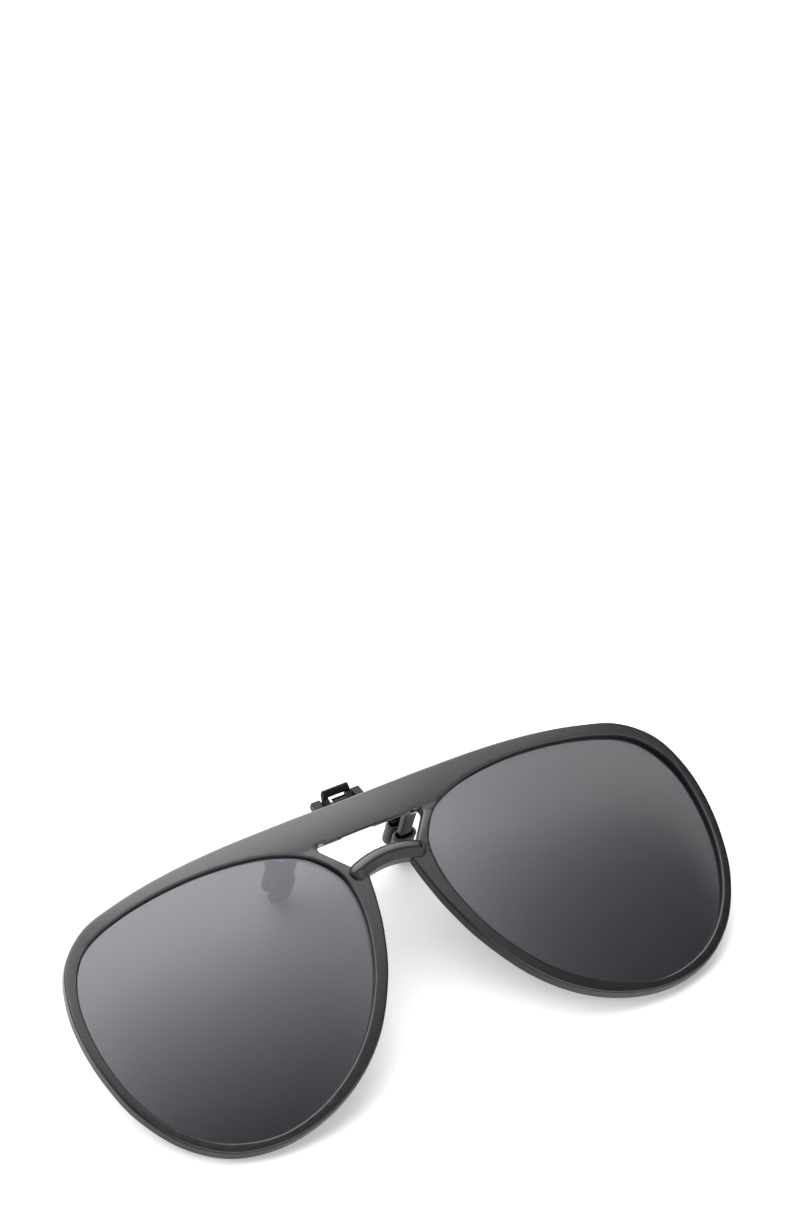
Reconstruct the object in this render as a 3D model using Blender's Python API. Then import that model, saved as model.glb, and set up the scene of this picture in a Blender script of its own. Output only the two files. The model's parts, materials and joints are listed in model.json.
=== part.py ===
"""Flip-up clip-on sunglasses, lying on their back and propped on the clip's arms.

Every size is in millimetres until place() turns it into metres. The pieces are
modelled in the face frame of the glasses: x to the side, y back from the front
face, z up the face. The empty "face" leans that frame back onto the table, so
that the rims' lower edges and the lower pads rest on z = 0.
"""
import math

import bmesh
import bpy
from mathutils import Matrix, Vector
from mathutils.geometry import tessellate_polygon

MM = 0.001

# ---- the frame -------------------------------------------------------------
RIM_DEPTH = 3.2            # front to back
FRONT_ROUND = 0.45         # rounding of the outer front edge
EDGE_ROUND = 0.45          # rounding of every other edge
BEND_SLOPE = 0.12          # each lens turns back by this slope
BEND_BLEND = 10.0          # half width of the bridge that takes the bend
FACE_RADIUS = 400.0        # curve of the face from top to bottom
BEND_LINES_X = (-50.2, -29.8, -14.1, -6.3, 6.3, 14.1, 29.8, 50.2)
BEND_LINES_Z = (-12.3, 10.9)
OUTER_HALF = [(0, 29.8), (16, 30.2), (30, 30.4), (42, 29.8), (52, 28.3), (60.3, 25.9),
              (66.4, 20.6), (69.3, 13.0), (70, 4.5), (68.9, -4.4), (66.3, -12.7),
              (60.9, -21.0), (53.0, -26.8), (43.2, -28.8), (33.4, -27.4), (24.4, -23.2),
              (16.8, -16.4), (10.8, -7.1), (7.4, 1.3), (5.7, 8.0), (4.8, 13.2)]
BRIDGE_SIDE = [(5.6, 14.6), (7.4, 16.4)]
BRIDGE_CORNER = (11.8, 22.6)
CORNER_ROUND = 0.8
LENS_OPENING = [(9.2, 12.4), (9.7, 4.4), (13.0, -5.5), (18.7, -14.4), (25.9, -21.0),
                (34.6, -25.4), (44.2, -26.8), (54.0, -23.9), (61.5, -17.0), (66.2, -7.3),
                (67.9, 4.0), (66.6, 14.2), (61.5, 21.8), (51.5, 25.6), (37.5, 27.0),
                (24.4, 25.7), (15.5, 22.3), (10.8, 17.3)]
OUTLINE_STEPS = 3          # points per stretch of an outline

# ---- the arch over the nose ------------------------------------------------
ARCH_RADIUS = 19.0
ARCH_TOP = 15.8            # z of its centre line at x = 0
ARCH_HALF_ANGLE = 20.0
ARCH_SECTION = [(1.8, 0.2), (1.6, -1.0), (0.9, -1.7), (0.0, -1.9), (-0.6, -1.7),
                (-1.8, -0.2), (-1.8, 2.4), (1.8, 2.4)]      # outward, back
ARCH_STEPS = 14

# ---- the lenses ------------------------------------------------------------
LENS_THICK = 1.1
LENS_SET_BACK = 1.1        # lens front behind the rim's front
LENS_TUCK = 0.55           # how far the lens reaches into the rim
LENS_GAP = 0.3
LENS_RINGS = 3

# ---- hinge that flips the clip ---------------------------------------------
FLIP_AXIS = (7.4, 25.3)    # y, z
PIN_RADIUS = 0.6
PIN_CLEARANCE = 0.08
LUG_RADIUS = 1.7
LUG_SPAN = (3.5, 10.9)     # both lugs, from the middle outwards
WASHER_SPAN = (11.05, 11.45)
KNUCKLE_SPAN = (11.6, 15.6)
FLIP_PIN_HALF = 16.2
BRACKET_HALF = 11.2
BRACKET_GAP = 0.3
BRACKET_THICK = 1.2
BRACKET_Z = (23.4, 29.2)
SCREW_X = 7.4
SCREW_Z = 28.15
SCREW_RADIUS = 0.5
SCREW_HEAD = (1.0, 0.6)    # radius, height

# ---- the two jaws ----------------------------------------------------------
JAW_AXIS = (10.1, 31.5)    # y, z
JAW_PIN_RADIUS = 0.55
EAR_SPAN = (3.4, 5.2)
EAR_RADIUS = 1.4
FORK_SPAN = (1.9, 3.1)
FORK_RADIUS = 1.35
POST_HALF = 1.6
WEB_Y = (9.4, 11.4)
WEB_Z = (26.9, 29.0)
BEAM_Y = (12.4, 14.3)
BEAM_Z = (30.9, 32.6)
ARM_SPAN = (12.1, 15.5)
ARM_THICK = 1.5
TIP_THICK = 1.0
LOWER_ARM = [(7.4, 26.0), (12.0, 25.75), (20.2, 24.7)]           # y, z of its middle
UPPER_ARM = [(13.3, 31.8), (16.4, 31.3), (18.4, 30.3), (19.6, 28.9), (20.15, 27.8)]
TIP_LENGTH = 6.0
TAB_HALF = 2.9
TAB_Y = (6.6, 7.5)
TAB_TOP = (34.15, 33.1)    # z of its top at the front edge and over the jaw axis
TAB_THICK = 1.2

# ---- the pads --------------------------------------------------------------
PAD_WIDTH = 5.2
PAD_THICK = 2.6
PAD_LENGTH = 8.0
PAD_START = (20.6, 24.62)  # y, z of the lower pad's near end
PAD_SLOPE = math.radians(-7.1)
PAD_GAP = 0.3              # between the closed pads
POCKET = (4.0, 1.5, 7.0)   # width, thickness, depth

# ---- the spring ------------------------------------------------------------
WIRE_RADIUS = 0.22
COIL_RADIUS = 1.2
COIL_TURNS = 3
COIL_PITCH = 0.7
LEG_REACH = 4.0            # how far the upper leg lies over the beam

# ---- how the glasses lie ---------------------------------------------------
LEAN = math.radians(21.14)  # between the face and the table
ROUND_SIDES = 16


def face_y(x, z):
    """How far the front face lies behind the bridge at this place."""
    bend = BEND_SLOPE * (math.hypot(x, BEND_BLEND) - BEND_BLEND)
    return bend + z * z / (2 * FACE_RADIUS)


# ---- outlines --------------------------------------------------------------
def smooth(points, steps, closed):
    """A Catmull-Rom curve through the points."""
    count = len(points)
    out = []
    for i in range(count if closed else count - 1):
        a, b, c, d = (points[k % count] if closed else points[min(max(k, 0), count - 1)]
                      for k in (i - 1, i, i + 1, i + 2))
        for s in range(steps):
            t = s / steps
            out.append(tuple(
                0.5 * (2 * b[j] + (c[j] - a[j]) * t
                       + (2 * a[j] - 5 * b[j] + 4 * c[j] - d[j]) * t * t
                       + (3 * b[j] - a[j] - 3 * c[j] + d[j]) * t ** 3) for j in (0, 1)))
    if not closed:
        out.append(tuple(points[-1]))
    return out


def rounded_corner(before, corner, after, radius, steps=3):
    """The arc that rounds a corner between two straight lines."""
    u = (Vector(before) - Vector(corner)).normalized()
    v = (Vector(after) - Vector(corner)).normalized()
    half = u.angle(v) / 2
    centre = Vector(corner) + (u + v).normalized() * (radius / math.sin(half))
    start = Vector(corner) + u * (radius / math.tan(half)) - centre
    end = Vector(corner) + v * (radius / math.tan(half)) - centre
    arc = []
    for k in range(steps + 1):
        arc.append(tuple(centre + start.slerp(end, k / steps)))
    return arc


def signed_area(loop):
    return 0.5 * sum(a[0] * b[1] - b[0] * a[1] for a, b in zip(loop, loop[1:] + loop[:1]))


def anticlockwise(loop):
    return loop if signed_area(loop) > 0 else loop[::-1]


def offset_loop(loop, distance):
    """The anticlockwise loop moved outwards by distance."""
    out = []
    for before, here, after in zip(loop[-1:] + loop[:-1], loop, loop[1:] + loop[:1]):
        a = (Vector(here) - Vector(before)).normalized()
        b = (Vector(after) - Vector(here)).normalized()
        normal = Vector((a.y + b.y, -a.x - b.x)).normalized()
        reach = distance / max(0.5, normal.dot(Vector((b.y, -b.x))))
        out.append((here[0] + normal.x * reach, here[1] + normal.y * reach))
    return out


def frame_outline():
    """The outside of the frame, with the nose gap and the bridge opening as one notch."""
    mirror = [(-x, z) for x, z in OUTER_HALF[:0:-1]]
    outside = smooth([mirror[-2], mirror[-1]] + OUTER_HALF, OUTLINE_STEPS, False)
    right = outside[2 * OUTLINE_STEPS:]
    right += BRIDGE_SIDE
    right += rounded_corner(BRIDGE_SIDE[-1], BRIDGE_CORNER, (0, BRIDGE_CORNER[1]), CORNER_ROUND)
    left = [(-x, z) for x, z in right[:0:-1]]
    return anticlockwise(right + [(0, BRIDGE_CORNER[1] + 0.05)] + left)


def lens_outline(side, grow=0.0):
    loop = anticlockwise([(side * x, z) for x, z in smooth(LENS_OPENING, OUTLINE_STEPS, True)])
    return offset_loop(loop, grow)


# ---- meshes ----------------------------------------------------------------
def slice_for_bend(bm):
    """Cut every face along lines close enough together to follow the bend."""
    for normal, places in (((1, 0, 0), BEND_LINES_X), ((0, 0, 1), BEND_LINES_Z)):
        for place_mm in places:
            bmesh.ops.bisect_plane(bm, geom=bm.verts[:] + bm.edges[:] + bm.faces[:], dist=1e-5,
                                   plane_co=Vector(normal) * place_mm, plane_no=normal)
    bmesh.ops.triangulate(bm, faces=[f for f in bm.faces if len(f.verts) > 3])


def mesh_object(name, bm, bend=False, smooth_angle=40, sliced=True):
    """An object from a bmesh in face millimetres, on the face's bend if asked."""
    if bend:
        if sliced:
            slice_for_bend(bm)
        for v in bm.verts:
            v.co.y += face_y(v.co.x, v.co.z)
    bmesh.ops.recalc_face_normals(bm, faces=bm.faces)
    mesh = bpy.data.meshes.new(name)
    bm.to_mesh(mesh)
    bm.free()
    mesh.shade_smooth()
    mesh.set_sharp_from_angle(angle=math.radians(smooth_angle))
    obj = bpy.data.objects.new(name, mesh)
    bpy.context.collection.objects.link(obj)
    return obj


def wall(bm, loops):
    """Quads between loops of equal length. Returns the vertex rings."""
    rings = [[bm.verts.new(p) for p in loop] for loop in loops]
    for low, high in zip(rings, rings[1:]):
        for i in range(len(low)):
            j = (i + 1) % len(low)
            bm.faces.new((low[i], low[j], high[j], high[i]))
    return rings


def cap(bm, rings):
    """Triangles that fill the first ring and leave the others open."""
    verts = [v for ring in rings for v in ring]
    flat = [[Vector((v.co.x, v.co.z, 0)) for v in ring] for ring in rings]
    for tri in tessellate_polygon(flat):
        bm.faces.new([verts[k] for k in tri])


def edge_profile(front_round, back_round, depth):
    """Inset and depth of each loop, from the front face round to the back face."""
    quarter = [math.radians(a) for a in (0, 45, 90)]
    front = [(front_round * (1 - math.sin(a)), front_round * (1 - math.cos(a))) for a in quarter]
    back = [(back_round * (1 - math.cos(a)), depth - back_round * (1 - math.sin(a)))
            for a in quarter[:1] + quarter[2:]]
    return front + back


def plate(name, outline, holes, depth, front_round, back_round):
    """A plate in the face, with rounded edges and holes, bent with the face."""
    bm = bmesh.new()
    fronts, backs = [], []
    for sign, loop, rounding in [(-1, outline, front_round)] + [(1, h, back_round) for h in holes]:
        loops = []
        for inset, y in edge_profile(rounding, back_round, depth):
            loops.append([(x, y, z) for x, z in offset_loop(loop, sign * inset)])
        rings = wall(bm, loops)
        fronts.append(rings[0])
        backs.append(rings[-1])
    cap(bm, fronts)
    cap(bm, backs)
    return mesh_object(name, bm, bend=True)


def prism(name, profile, x_low, x_high, bend=False):
    """A (y, z) profile extruded along x."""
    bm = bmesh.new()
    rings = wall(bm, [[(x, y, z) for y, z in profile] for x in (x_low, x_high)])
    bm.faces.new(rings[0])
    bm.faces.new(rings[1])
    bmesh.ops.triangulate(bm, faces=[f for f in bm.faces if len(f.verts) > 4])
    return mesh_object(name, bm, bend, smooth_angle=30)


def disc(centre, radius, start=0.0, stop=360.0, sides=ROUND_SIDES):
    """Points round a circle in (y, z), or along part of one."""
    whole = abs(stop - start) >= 360
    count = sides if whole else max(2, round(sides * abs(stop - start) / 360))
    angles = [math.radians(start + (stop - start) * k / count)
              for k in range(count if whole else count + 1)]
    return [(centre[0] + radius * math.cos(a), centre[1] + radius * math.sin(a)) for a in angles]


def turned(name, profile, centre):
    """A solid turned about an x axis through centre (y, z), from (x, radius) pairs."""
    bm = bmesh.new()
    loops = [[(x, y, z) for y, z in disc(centre, r)] for x, r in profile]
    rings = wall(bm, loops)
    bm.faces.new(rings[0])
    bm.faces.new(rings[-1])
    return mesh_object(name, bm, smooth_angle=30)


def ribbon(middle, thickness):
    """The closed (y, z) profile of a strip of even thickness along a line."""
    upper, lower = [], []
    for i, here in enumerate(middle):
        before = middle[max(i - 1, 0)]
        after = middle[min(i + 1, len(middle) - 1)]
        along = (Vector(after) - Vector(before)).normalized()
        step = Vector((-along.y, along.x)) * thickness / 2
        upper.append(tuple(Vector(here) + step))
        lower.append(tuple(Vector(here) - step))
    return upper + lower[::-1]


def wire(name, points, radius, sides=6):
    """A round wire bent along the points."""
    points = [Vector(p) for p in points]
    side = None
    loops = []
    for i, here in enumerate(points):
        along = (points[min(i + 1, len(points) - 1)] - points[max(i - 1, 0)]).normalized()
        side = (along.orthogonal() if side is None else side - along * side.dot(along)).normalized()
        other = along.cross(side)
        loops.append([tuple(here + (side * math.cos(a) + other * math.sin(a)) * radius)
                      for a in (2 * math.pi * k / sides for k in range(sides))])
    bm = bmesh.new()
    rings = wall(bm, loops)
    bm.faces.new(rings[0])
    bm.faces.new(rings[-1])
    return mesh_object(name, bm)


def combine(obj, other, how):
    """Boolean modifier that joins other to obj, or cuts it away."""
    modifier = obj.modifiers.new(other.name, "BOOLEAN")
    modifier.operation = how
    modifier.solver = "EXACT"
    modifier.object = other
    other.hide_render = True
    other.display_type = "WIRE"


def join(obj, *others):
    for other in others:
        combine(obj, other, "UNION")


def cut(obj, *others):
    for other in others:
        combine(obj, other, "DIFFERENCE")


def material(name, colour, roughness, metallic=0.0, alpha=1.0):
    mat = bpy.data.materials.new(name)
    mat.use_nodes = True
    shader = mat.node_tree.nodes["Principled BSDF"]
    shader.inputs["Base Color"].default_value = (*colour, 1.0)
    shader.inputs["Roughness"].default_value = roughness
    shader.inputs["Metallic"].default_value = metallic
    shader.inputs["Alpha"].default_value = alpha
    mat.diffuse_color = (*colour, alpha)
    return mat


def place(obj, parent, mat=None):
    """Turn a finished mesh into metres from its parent's origin, and hang it there."""
    origin = Vector(parent["face_mm"])
    obj.data.transform(Matrix.Diagonal((MM, MM, MM, 1)) @ Matrix.Translation(-origin))
    obj.parent = parent
    if mat:
        obj.data.materials.clear()
        obj.data.materials.append(mat)
    for modifier in obj.modifiers:
        if modifier.type == "BOOLEAN" and modifier.object.parent is None:
            place(modifier.object, parent)
    return obj


def axis_empty(name, parent, face_mm):
    empty = bpy.data.objects.new(name, None)
    empty["face_mm"] = face_mm
    bpy.context.collection.objects.link(empty)
    if parent:
        empty.parent = parent
        empty.location = (Vector(face_mm) - Vector(parent["face_mm"])) * MM
    return empty


# ---- the lens frame --------------------------------------------------------
def make_arch():
    """The half-round arch, which ends in domes on the rims."""
    bm = bmesh.new()
    centre_z = ARCH_TOP - ARCH_RADIUS
    dome = [(1.0, 0.35), (0.75, 0.72), (0.4, 0.93)]     # share of the dome's length, size
    half = math.radians(ARCH_HALF_ANGLE)
    dome_angle = ARCH_SECTION[0][0] / ARCH_RADIUS
    stations = [(-half - dome_angle * a, s) for a, s in dome]
    stations += [(-half + 2 * half * k / ARCH_STEPS, 1.0) for k in range(ARCH_STEPS + 1)]
    stations += [(half + dome_angle * a, s) for a, s in dome[::-1]]
    loops = []
    for angle, size in stations:
        loop = []
        for out, back in ARCH_SECTION:
            radius = ARCH_RADIUS + out * size
            depth = back * size if back < 0 else back
            loop.append((radius * math.sin(angle), depth, centre_z + radius * math.cos(angle)))
        loops.append(loop)
    rings = wall(bm, loops)
    bm.faces.new(rings[0])
    bm.faces.new(rings[-1])
    return mesh_object("arch_solid", bm, bend=True)


def make_frame(face, mat):
    holes = [lens_outline(side) for side in (-1, 1)]
    frame = plate("frame_front", frame_outline(), holes, RIM_DEPTH, FRONT_ROUND, EDGE_ROUND)
    join(frame, make_arch())
    for side, word in ((-1, "left"), (1, "right")):
        bm = bmesh.new()
        loop = lens_outline(side, LENS_TUCK + LENS_GAP)
        depths = (LENS_SET_BACK - LENS_GAP, LENS_SET_BACK + LENS_THICK + LENS_GAP)
        rings = wall(bm, [[(x, y, z) for x, z in loop] for y in depths])
        cap(bm, rings[:1])
        cap(bm, rings[1:])
        cut(frame, mesh_object("groove_" + word, bm, bend=True))
        cut(frame, screw_hole("screw_hole_" + word, side))
    return place(frame, face, mat)


def make_lens(side, word, face, mat):
    """A curved lens: rings that shrink to the middle on both faces."""
    bm = bmesh.new()
    rim = lens_outline(side, LENS_TUCK)
    middle = (sum(p[0] for p in rim) / len(rim), sum(p[1] for p in rim) / len(rim))
    loops = []
    for face_side in (0, 1):
        shares = [k / LENS_RINGS for k in range(1, LENS_RINGS + 1)]
        y = LENS_SET_BACK + LENS_THICK * face_side
        for share in shares if face_side == 0 else shares[::-1]:
            loops.append([(middle[0] + (x - middle[0]) * share, y,
                           middle[1] + (z - middle[1]) * share) for x, z in rim])
    rings = wall(bm, loops)
    for ring, y in ((rings[0], LENS_SET_BACK), (rings[-1], LENS_SET_BACK + LENS_THICK)):
        hub = bm.verts.new((middle[0], y, middle[1]))
        for i in range(len(ring)):
            bm.faces.new((ring[i], ring[(i + 1) % len(ring)], hub))
    return place(mesh_object("lens_" + word, bm, bend=True, sliced=False), face, mat)


def bar_back():
    return RIM_DEPTH + BRACKET_GAP


def screw_parts(side, radius, y_low, y_high):
    """A round shape along y at a bracket screw, as a bmesh."""
    bm = bmesh.new()
    bmesh.ops.create_cone(bm, cap_ends=True, segments=12, radius1=radius, radius2=radius,
                          depth=y_high - y_low)
    turn = Matrix.Rotation(math.radians(90), 4, "X")
    seat = face_y(SCREW_X, SCREW_Z)
    shift = Matrix.Translation((side * SCREW_X, seat + (y_low + y_high) / 2, SCREW_Z))
    bm.transform(shift @ turn)
    return bm


def screw_hole(name, side):
    """Clearance through the bracket and a blind hole in the bar."""
    reach = bar_back() + BRACKET_THICK + 1.0
    bm = screw_parts(side, SCREW_RADIUS + PIN_CLEARANCE, RIM_DEPTH - 2.1, reach)
    return mesh_object(name, bm)


def make_bracket(face, mat):
    """The plate behind the brow bar, with a lug on each side of the middle."""
    top, bottom = BRACKET_Z[1], BRACKET_Z[0]
    y_front, y_back = bar_back(), bar_back() + BRACKET_THICK
    bm = bmesh.new()
    half = BRACKET_HALF
    notch = LUG_SPAN[0]
    outline = [(-half, bottom), (-notch, bottom), (-notch, bottom + 2.8), (notch, bottom + 2.8),
               (notch, bottom), (half, bottom), (half, top - 1.6), (half - 1.6, top),
               (0, top), (-half + 1.6, top), (-half, top - 1.6)]
    rings = wall(bm, [[(x, y, z) for x, z in outline] for y in (y_front, y_back)])
    cap(bm, rings[:1])
    cap(bm, rings[1:])
    bracket = mesh_object("hinge_bracket", bm, bend=True)
    y_root = y_front + face_y(LUG_SPAN[1], top) + 0.35
    profile = disc(FLIP_AXIS, LUG_RADIUS, -90, 90)
    profile += [(y_root, FLIP_AXIS[1] + LUG_RADIUS), (y_root, FLIP_AXIS[1] - LUG_RADIUS)]
    for side, word in ((-1, "left"), (1, "right")):
        low, high = sorted(side * x for x in LUG_SPAN)
        join(bracket, prism("lug_" + word, profile, low, high))
    cut(bracket, pin_hole("flip_bore", FLIP_AXIS, PIN_RADIUS, FLIP_PIN_HALF))
    for side, word in ((-1, "left"), (1, "right")):
        cut(bracket, screw_hole("bracket_hole_" + word, side))
    return place(bracket, face, mat)


def pin_hole(name, axis, radius, half):
    return prism(name, disc(axis, radius + PIN_CLEARANCE), -half - 2, half + 2)


def make_screw(side, word, face, mat):
    head_base = bar_back() + BRACKET_THICK + 0.15
    radius, height = SCREW_HEAD
    screw = mesh_object("bracket_screw_" + word,
                        screw_parts(side, radius, head_base, head_base + height))
    shank = screw_parts(side, SCREW_RADIUS, RIM_DEPTH - 1.8, head_base + 0.1)
    join(screw, mesh_object("screw_shank_" + word, shank))
    slot = bmesh.new()
    bmesh.ops.create_cube(slot, size=1.0)
    top = head_base + height + face_y(SCREW_X, SCREW_Z)
    slot.transform(Matrix.Translation((side * SCREW_X, top, SCREW_Z))
                   @ Matrix.Diagonal((3 * radius, 0.5, 0.35, 1)))
    cut(screw, mesh_object("screw_slot_" + word, slot))
    return place(screw, face, mat)


# ---- the clip --------------------------------------------------------------
def headed_pin(name, axis, radius, half, parent, mat):
    head = radius * 1.45
    cap_start = half - 0.5
    profile = [(-half, head * 0.8), (-half + 0.15, head), (-cap_start, head),
               (-cap_start, radius), (cap_start, radius), (cap_start, head),
               (half - 0.15, head), (half, head * 0.8)]
    return place(turned(name, profile, axis), parent, mat)


def arm_pair(prefix, middle, pad_lift, root_beam):
    """Two arms with thin tips for the pads, joined to root_beam."""
    tip_start = Vector(PAD_START) + along_pad(-1.0, pad_lift)
    tip_end = Vector(PAD_START) + along_pad(TIP_LENGTH + 0.6, pad_lift)
    for side, word in ((-1, "left"), (1, "right")):
        low, high = sorted(side * x for x in ARM_SPAN)
        join(root_beam, prism(f"{prefix}_arm_{word}", ribbon(middle, ARM_THICK), low, high))
        tip = ribbon([tuple(tip_start), tuple(tip_end)], TIP_THICK)
        join(root_beam, prism(f"{prefix}_tip_{word}", tip, low + 0.1, high - 0.1))


def along_pad(reach, lift):
    """A (y, z) step along the pads' slope and square to it."""
    c, s = math.cos(PAD_SLOPE), math.sin(PAD_SLOPE)
    return Vector((reach * c - lift * s, reach * s + lift * c))


def upper_lift():
    return PAD_THICK + PAD_GAP


def make_front_jaw(flip, mat):
    """The lower jaw: web, hinge knuckles, ears for the jaw pin, spring post and arms."""
    web = [(WEB_Y[0], WEB_Z[0]), (WEB_Y[1], WEB_Z[0]), (WEB_Y[1], WEB_Z[1]), (WEB_Y[0], WEB_Z[1])]
    jaw = prism("front_jaw", web, -KNUCKLE_SPAN[1], KNUCKLE_SPAN[1])
    knuckle = disc(FLIP_AXIS, LUG_RADIUS, 120, 270)
    knuckle += [(WEB_Y[0] + 0.4, FLIP_AXIS[1] - 0.9), (WEB_Y[1], WEB_Z[0] - 0.6),
                (WEB_Y[1], WEB_Z[1] - 0.1), (WEB_Y[0], WEB_Z[1] - 0.1)]
    ear = disc(JAW_AXIS, EAR_RADIUS, -10, 190)
    ear += [(WEB_Y[0] - 0.2, WEB_Z[1] - 0.7), (WEB_Y[1] - 0.1, WEB_Z[1] - 0.7)]
    for side, word in ((-1, "left"), (1, "right")):
        low, high = sorted(side * x for x in KNUCKLE_SPAN)
        join(jaw, prism("knuckle_" + word, knuckle, low, high))
        low, high = sorted(side * x for x in EAR_SPAN)
        join(jaw, prism("ear_" + word, ear, low, high))
    post_y = TAB_Y[1] + 0.25
    post = [(post_y, 33.05), (post_y, 28.9), (post_y + 0.9, WEB_Z[0] + 0.2),
            (WEB_Y[1] - 0.2, WEB_Z[0] + 0.2), (WEB_Y[1] - 0.2, WEB_Z[0] + 1.2),
            (post_y + 0.6, 29.4), (post_y + 0.6, 33.05)]
    join(jaw, prism("spring_post", post, -POST_HALF, POST_HALF))
    arm_pair("front", LOWER_ARM, 0.0, jaw)
    cut(jaw, pin_hole("front_flip_bore", FLIP_AXIS, PIN_RADIUS, FLIP_PIN_HALF),
        pin_hole("front_jaw_bore", JAW_AXIS, JAW_PIN_RADIUS, EAR_SPAN[1]))
    return place(jaw, flip, mat)


def make_rear_jaw(pivot, mat):
    """The upper jaw: beam, fork on the jaw pin, thumb tab with a window, and arms."""
    beam = [(BEAM_Y[0], BEAM_Z[0]), (BEAM_Y[1], BEAM_Z[0]), (BEAM_Y[1], BEAM_Z[1]),
            (BEAM_Y[0], BEAM_Z[1])]
    jaw = prism("rear_jaw", beam, -ARM_SPAN[1], ARM_SPAN[1])
    fork = disc(JAW_AXIS, FORK_RADIUS, 180, 300)
    fork += [(BEAM_Y[0] + 0.3, BEAM_Z[0] + 0.1), (BEAM_Y[0] + 0.3, BEAM_Z[1] - 0.1),
             (JAW_AXIS[0] + 0.6, TAB_TOP[1]), (TAB_Y[1] - 0.3, TAB_TOP[0] - 0.25),
             (TAB_Y[1] - 0.3, TAB_TOP[0] - TAB_THICK)]
    for side, word in ((-1, "left"), (1, "right")):
        low, high = sorted(side * x for x in FORK_SPAN)
        join(jaw, prism("fork_" + word, fork, low, high))
    tab = [(TAB_Y[0], TAB_TOP[0] - 0.35), (TAB_Y[0] + 0.3, TAB_TOP[0]), (TAB_Y[1], TAB_TOP[0] - 0.2),
           (TAB_Y[1], TAB_TOP[0] - TAB_THICK), (TAB_Y[0] + 0.1, TAB_TOP[0] - TAB_THICK)]
    join(jaw, prism("thumb_tab", tab, -TAB_HALF, TAB_HALF))
    arm_pair("rear", UPPER_ARM, upper_lift(), jaw)
    cut(jaw, pin_hole("rear_jaw_bore", JAW_AXIS, JAW_PIN_RADIUS, EAR_SPAN[1]))
    return place(jaw, pivot, mat)


def make_pad(name, side, lift, parent, mat):
    """A sleeve with a round end, and a pocket for the arm's tip."""
    half = PAD_WIDTH / 2
    straight = PAD_LENGTH - half
    outline = [(-half + 0.4, 0.0), (half - 0.4, 0.0), (half, 0.4)]
    steps = 8
    outline += [(half * math.cos(math.pi * k / steps), straight + half * math.sin(math.pi * k / steps))
                for k in range(steps + 1)]
    outline.append((-half, 0.4))
    outline = anticlockwise(outline)
    bm = bmesh.new()
    levels = [(0.45, -PAD_THICK / 2), (0.0, -PAD_THICK / 2 + 0.45),
              (0.0, PAD_THICK / 2 - 0.45), (0.45, PAD_THICK / 2)]
    rings = wall(bm, [[(x, s, h) for x, s in offset_loop(outline, -inset)] for inset, h in levels])
    bm.faces.new(rings[0])
    bm.faces.new(rings[-1])
    middle = sum(ARM_SPAN) / 2
    start = Vector(PAD_START) + along_pad(0.0, lift)
    seat = (Matrix.Translation((side * middle, start.x, start.y))
            @ Matrix.Rotation(PAD_SLOPE, 4, "X"))
    bm.transform(seat)
    pad = mesh_object(name, bm)
    pocket = bmesh.new()
    bmesh.ops.create_cube(pocket, size=1.0)
    width, thickness, depth = POCKET
    pocket.transform(seat @ Matrix.Translation((0, depth / 2 - 0.5, 0))
                     @ Matrix.Diagonal((width, depth + 1.0, thickness, 1)))
    cut(pad, mesh_object(name + "_pocket", pocket))
    return place(pad, parent, mat)


def make_spring(flip, mat):
    """A torsion spring round the jaw pin: one leg on the web, one over the beam."""
    sides = 8
    half = COIL_TURNS * COIL_PITCH / 2
    start = math.radians(90)
    points = [(-half, JAW_AXIS[0] + LEG_REACH, JAW_AXIS[1] + COIL_RADIUS + 0.45),
              (-half, JAW_AXIS[0] + 1.6, JAW_AXIS[1] + COIL_RADIUS + 0.35)]
    total = COIL_TURNS * sides + sides * 3 // 4
    for k in range(total + 1):
        angle = start + 2 * math.pi * k / sides
        x = -half + COIL_PITCH * k / sides * COIL_TURNS * sides / total
        points.append((x, JAW_AXIS[0] + COIL_RADIUS * math.cos(angle),
                       JAW_AXIS[1] + COIL_RADIUS * math.sin(angle)))
    points += [(half, JAW_AXIS[0] + COIL_RADIUS, JAW_AXIS[1] - 1.6)]
    return place(wire("jaw_spring", points, WIRE_RADIUS), flip, mat)


def make_washer(side, word, flip, mat):
    low, high = sorted(side * x for x in WASHER_SPAN)
    washer = prism("flip_washer_" + word, disc(FLIP_AXIS, LUG_RADIUS - 0.3), low, high)
    cut(washer, prism("washer_bore_" + word, disc(FLIP_AXIS, PIN_RADIUS + PIN_CLEARANCE),
                      low - 1, high + 1))
    return place(washer, flip, mat)


def rest_on_table(face):
    """Lean the face back, then stand the lowest point on z = 0 over the origin."""
    face.rotation_euler = (LEAN - math.pi / 2, 0, 0)
    bpy.context.view_layer.update()
    graph = bpy.context.evaluated_depsgraph_get()
    low, high = Vector((9, 9, 9)), Vector((-9, -9, -9))
    for obj in bpy.data.objects:
        if obj.type != "MESH" or obj.hide_render:
            continue
        shown = obj.evaluated_get(graph)
        mesh = shown.to_mesh()
        for v in mesh.vertices:
            p = shown.matrix_world @ v.co
            low = Vector(map(min, low, p))
            high = Vector(map(max, high, p))
        shown.to_mesh_clear()
    face.location = (0, -(low.y + high.y) / 2, -low.z)


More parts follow.
